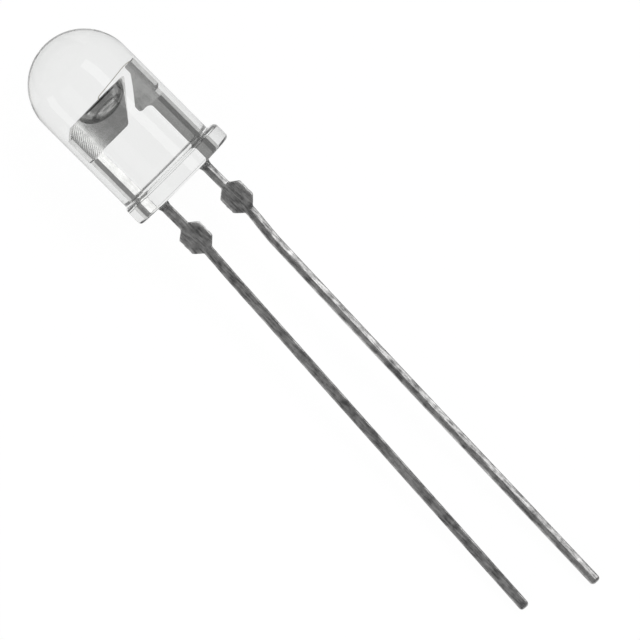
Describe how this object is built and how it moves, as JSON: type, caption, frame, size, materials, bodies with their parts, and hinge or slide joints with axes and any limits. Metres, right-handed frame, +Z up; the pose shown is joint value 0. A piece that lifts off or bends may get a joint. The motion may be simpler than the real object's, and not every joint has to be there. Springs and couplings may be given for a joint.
{
  "type": "through-hole led",
  "caption": "Round clear through-hole LED: domed lens with a flanged base, a cup and post lead frame inside, and long untrimmed leads of unequal length.",
  "frame": {"origin": "centre of the flange's underside, the plane that sits towards the board", "axes": "+X along the optical axis towards the dome, as the part lies at rest (it points 6 degrees up from level); +Y towards the cathode lead and the flange's flat; +Z up from the surface that the part lies on"},
  "size_m": [0.0339, 0.0056, 0.006],
  "materials": {
    "clear_resin": "polished, water clear",
    "tinned_steel": "solder dipped",
    "chip": "polished",
    "paste": "matt, silver filled",
    "gold": "drawn"
  },
  "bodies": {
    "root": {"lens": "clear_resin", "cathode_lead": "tinned_steel", "anode_lead": "tinned_steel", "chip": "chip", "chip_paste": "paste", "bond_wire": "gold"}
  },
  "joints": []
}
